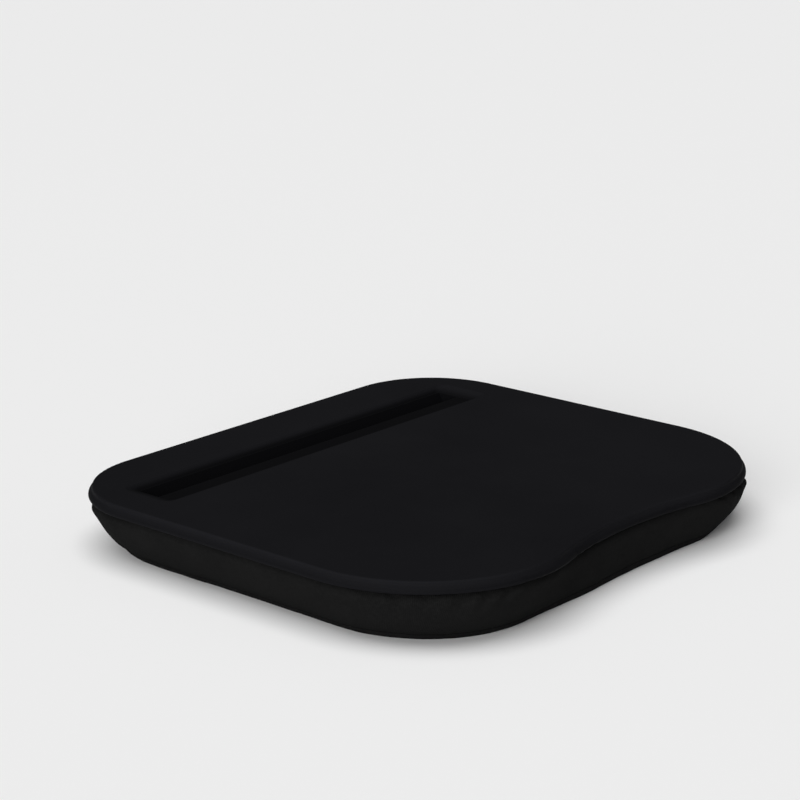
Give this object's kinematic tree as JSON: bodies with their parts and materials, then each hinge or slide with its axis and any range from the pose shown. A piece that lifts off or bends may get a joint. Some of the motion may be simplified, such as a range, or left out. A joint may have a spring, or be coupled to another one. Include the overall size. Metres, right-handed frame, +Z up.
{
  "type": "lap tray with cushion",
  "caption": "Black lap tray: a flat moulded deck with a rolled rim, a long dish with a device slot near the back, a hollowed front edge and a soft stuffed cushion under it.",
  "frame": {"origin": "on the surface that the cushion rests on, under the middle of the tray", "axes": "+Z up, +X to the user's right along the slot, +Y away from the user, towards the slot"},
  "size_m": [0.303, 0.268, 0.0342],
  "materials": {
    "tray_plastic": "satin black with a fine moulded texture",
    "hardboard": "smooth brown hardboard",
    "fastener_steel": "zinc plated",
    "cover_fabric": "black close knit",
    "liner_fabric": "white non-woven",
    "beads": "expanded beads"
  },
  "bodies": {
    "root": {"tray_top": "tray_plastic", "backing_board": "hardboard", "board_screws": "fastener_steel", "hem_staples": "fastener_steel", "cover_side_band": "cover_fabric", "cover_bottom_panel": "cover_fabric", "liner_bag": "liner_fabric", "bead_fill": "beads"}
  },
  "joints": []
}
